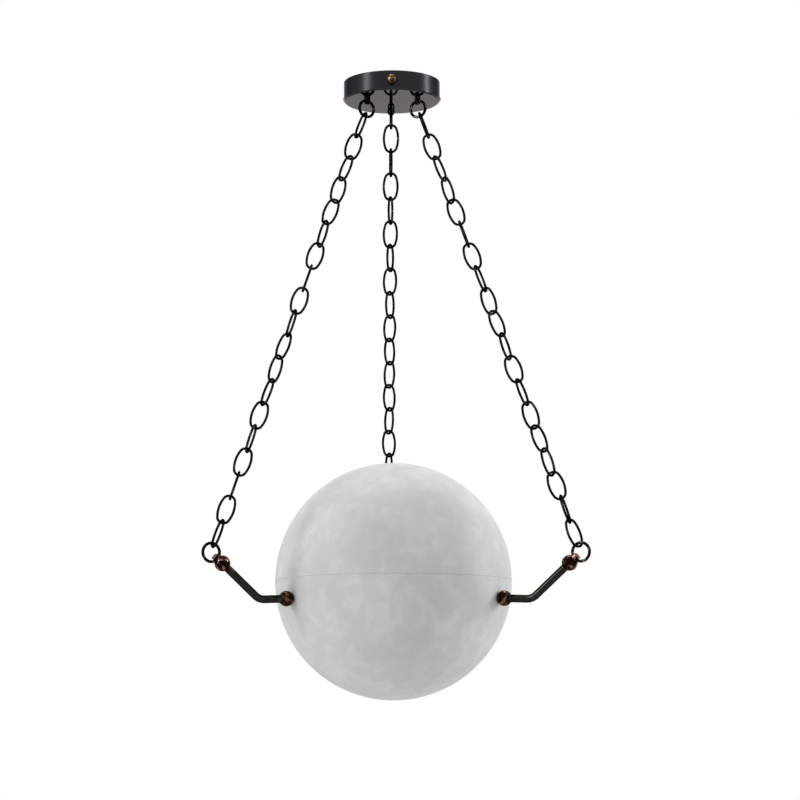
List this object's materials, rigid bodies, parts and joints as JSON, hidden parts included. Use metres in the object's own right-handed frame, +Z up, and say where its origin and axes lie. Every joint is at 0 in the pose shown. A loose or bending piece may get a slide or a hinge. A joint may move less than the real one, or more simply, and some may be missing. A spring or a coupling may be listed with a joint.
{
  "type": "globe pendant light",
  "caption": "Ceiling pendant: an alabaster globe in two halves, carried by cranked ball-ended arms and oval-link chains from a round canopy.",
  "frame": {"origin": "centre of the canopy's ceiling face, between the two ceiling screw slots", "axes": "+Z up into the ceiling, the light hangs along -Z; +Y towards the back arm, +X to the right seen from the front"},
  "size_m": [0.4738, 0.4232, 0.7995],
  "materials": {
    "zinc_plated_steel": "zinc plated, satin",
    "gunmetal_cup": "gunmetal lacquer, polished",
    "brass": "aged brass, polished",
    "black_rubber": "moulded, matte",
    "seam_gasket": "pale grey silicone, matte",
    "terminal_plastic": "moulded",
    "ring_bronze": "blackened bronze, satin",
    "chain_bronze": "blackened bronze, satin",
    "ball_bronze": "dark red bronze, polished",
    "rod_black": "dark bronze lacquer, polished",
    "alabaster": "honed, translucent",
    "holder_porcelain": "glazed",
    "lamp_cap_metal": "rolled thread",
    "opal_glass": "opal"
  },
  "bodies": {
    "canopy": {"ceiling_bracket": "zinc_plated_steel", "canopy_cup": "gunmetal_cup", "side_screws": "brass", "cord_bushing": "black_rubber", "terminal_block": "terminal_plastic", "earth_screw": "brass", "eye_back": "ring_bronze", "eye_left": "ring_bronze", "eye_right": "ring_bronze", "eye_nuts": "zinc_plated_steel"},
    "canopy_ring_back": {"canopy_ring_back": "ring_bronze"},
    "canopy_ring_left": {"canopy_ring_left": "ring_bronze"},
    "canopy_ring_right": {"canopy_ring_right": "ring_bronze"},
    "chain_back": {"chain_back_top_link": "chain_bronze", "chain_back_links": "chain_bronze", "chain_back_end_link": "chain_bronze"},
    "chain_left": {"chain_left_top_link": "chain_bronze", "chain_left_links": "chain_bronze", "chain_left_end_link": "chain_bronze"},
    "chain_right": {"chain_right_top_link": "chain_bronze", "chain_right_links": "chain_bronze", "chain_right_end_link": "chain_bronze"},
    "arm_ring_back": {"arm_ring_back": "ring_bronze"},
    "arm_ring_left": {"arm_ring_left": "ring_bronze"},
    "arm_ring_right": {"arm_ring_right": "ring_bronze"},
    "upper_dome": {"upper_dome": "alabaster"},
    "lantern": {"end_ball_back": "ball_bronze", "end_ball_left": "ball_bronze", "end_ball_right": "ball_bronze", "arm_rod_back": "rod_black", "arm_rod_left": "rod_black", "arm_rod_right": "rod_black", "seat_ball_back": "ball_bronze", "seat_ball_left": "ball_bronze", "seat_ball_right": "ball_bronze", "arm_studs": "zinc_plated_steel", "outer_washers": "black_rubber", "inner_washers": "black_rubber", "stud_nuts": "zinc_plated_steel", "lower_bowl": "alabaster", "rim_gasket": "seam_gasket", "lamp_frame": "zinc_plated_steel", "wire_grommet": "black_rubber", "lampholder_1": "holder_porcelain", "lampholder_2": "holder_porcelain", "lampholder_3": "holder_porcelain", "lamp_cap_1": "lamp_cap_metal", "lamp_cap_2": "lamp_cap_metal", "lamp_cap_3": "lamp_cap_metal", "lamp_glass_1": "opal_glass", "lamp_glass_2": "opal_glass", "lamp_glass_3": "opal_glass"}
  },
  "joints": [
    {"name": "side_sway", "type": "hinge", "parent": "canopy", "child": "canopy_ring_back", "pos_m": [0, 0.0375, -0.02891], "axis": [0, 1, 0], "range_deg": [-5, 5]},
    {"name": "front_sway", "type": "hinge", "parent": "canopy_ring_back", "child": "chain_back", "pos_m": [0, 0.04149, -0.04753], "axis": [1, 0, 0], "range_deg": [-5, 5]},
    {"name": "arm_ring_back_side", "type": "hinge", "parent": "chain_back", "child": "arm_ring_back", "pos_m": [0, 0.25666, -0.61377], "axis": [0, 1, 0], "range_deg": [-0.78, 0.78]},
    {"name": "lantern_front", "type": "hinge", "parent": "arm_ring_back", "child": "lantern", "pos_m": [0, 0.25123, -0.6297], "axis": [1, 0, 0], "range_deg": [-0.83, 0.83]},
    {"name": "canopy_ring_left_side", "type": "hinge", "parent": "canopy", "child": "canopy_ring_left", "pos_m": [-0.03248, -0.01875, -0.02891], "axis": [0, 1, 0], "range_deg": [-5, 5]},
    {"name": "chain_left_front", "type": "hinge", "parent": "canopy_ring_left", "child": "chain_left", "pos_m": [-0.03593, -0.02074, -0.04753], "axis": [1, 0, 0], "range_deg": [-5.04, 5.04]},
    {"name": "arm_ring_left_side", "type": "hinge", "parent": "lantern", "child": "arm_ring_left", "pos_m": [-0.21757, -0.12562, -0.6297], "axis": [0, 1, 0], "range_deg": [-0.76, 0.76]},
    {"name": "canopy_ring_right_side", "type": "hinge", "parent": "canopy", "child": "canopy_ring_right", "pos_m": [0.03248, -0.01875, -0.02891], "axis": [0, 1, 0], "range_deg": [-5, 5]},
    {"name": "chain_right_front", "type": "hinge", "parent": "canopy_ring_right", "child": "chain_right", "pos_m": [0.03593, -0.02074, -0.04753], "axis": [1, 0, 0], "range_deg": [-5.04, 5.04]},
    {"name": "arm_ring_right_side", "type": "hinge", "parent": "lantern", "child": "arm_ring_right", "pos_m": [0.21757, -0.12562, -0.6297], "axis": [0, 1, 0], "range_deg": [-0.76, 0.76]},
    {"name": "dome_lift", "type": "slide", "parent": "lantern", "child": "upper_dome", "axis": [0, 0, 1], "range_m": [0, 0.2]}
  ],
  "couplings": [
    {"joint": "arm_ring_back_side", "follows": "side_sway", "ratio": -0.15271},
    {"joint": "lantern_front", "follows": "front_sway", "ratio": -0.16266},
    {"joint": "canopy_ring_left_side", "follows": "side_sway", "ratio": 0.99595},
    {"joint": "chain_left_front", "follows": "front_sway", "ratio": 1.0046},
    {"joint": "arm_ring_left_side", "follows": "side_sway", "ratio": 0.14866},
    {"joint": "canopy_ring_right_side", "follows": "side_sway", "ratio": 0.99595},
    {"joint": "chain_right_front", "follows": "front_sway", "ratio": 1.0046},
    {"joint": "arm_ring_right_side", "follows": "side_sway", "ratio": 0.14866}
  ]
}
